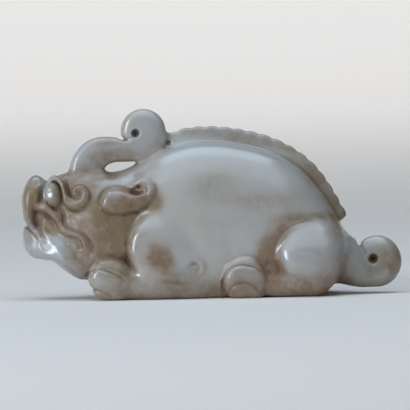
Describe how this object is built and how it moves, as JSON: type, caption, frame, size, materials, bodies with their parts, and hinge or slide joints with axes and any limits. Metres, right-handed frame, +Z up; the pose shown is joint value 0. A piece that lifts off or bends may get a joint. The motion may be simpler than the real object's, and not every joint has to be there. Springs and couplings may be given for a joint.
{
  "type": "qilin figure",
  "caption": "Crouching one-horned qilin carved in the round from pale jade with russet skin, with a scalloped crest and pierced horn and tail scrolls; rests on its flat underside.",
  "frame": {"origin": "middle of the bounding box on the plane of the flat underside", "axes": "+Z up, -X towards the nose, +X towards the tail, -Y towards the beast's left flank"},
  "size_m": [0.1158, 0.036, 0.0577],
  "materials": {
    "jade": null
  },
  "bodies": {
    "root": {"qilin_figure": "jade"}
  },
  "joints": []
}
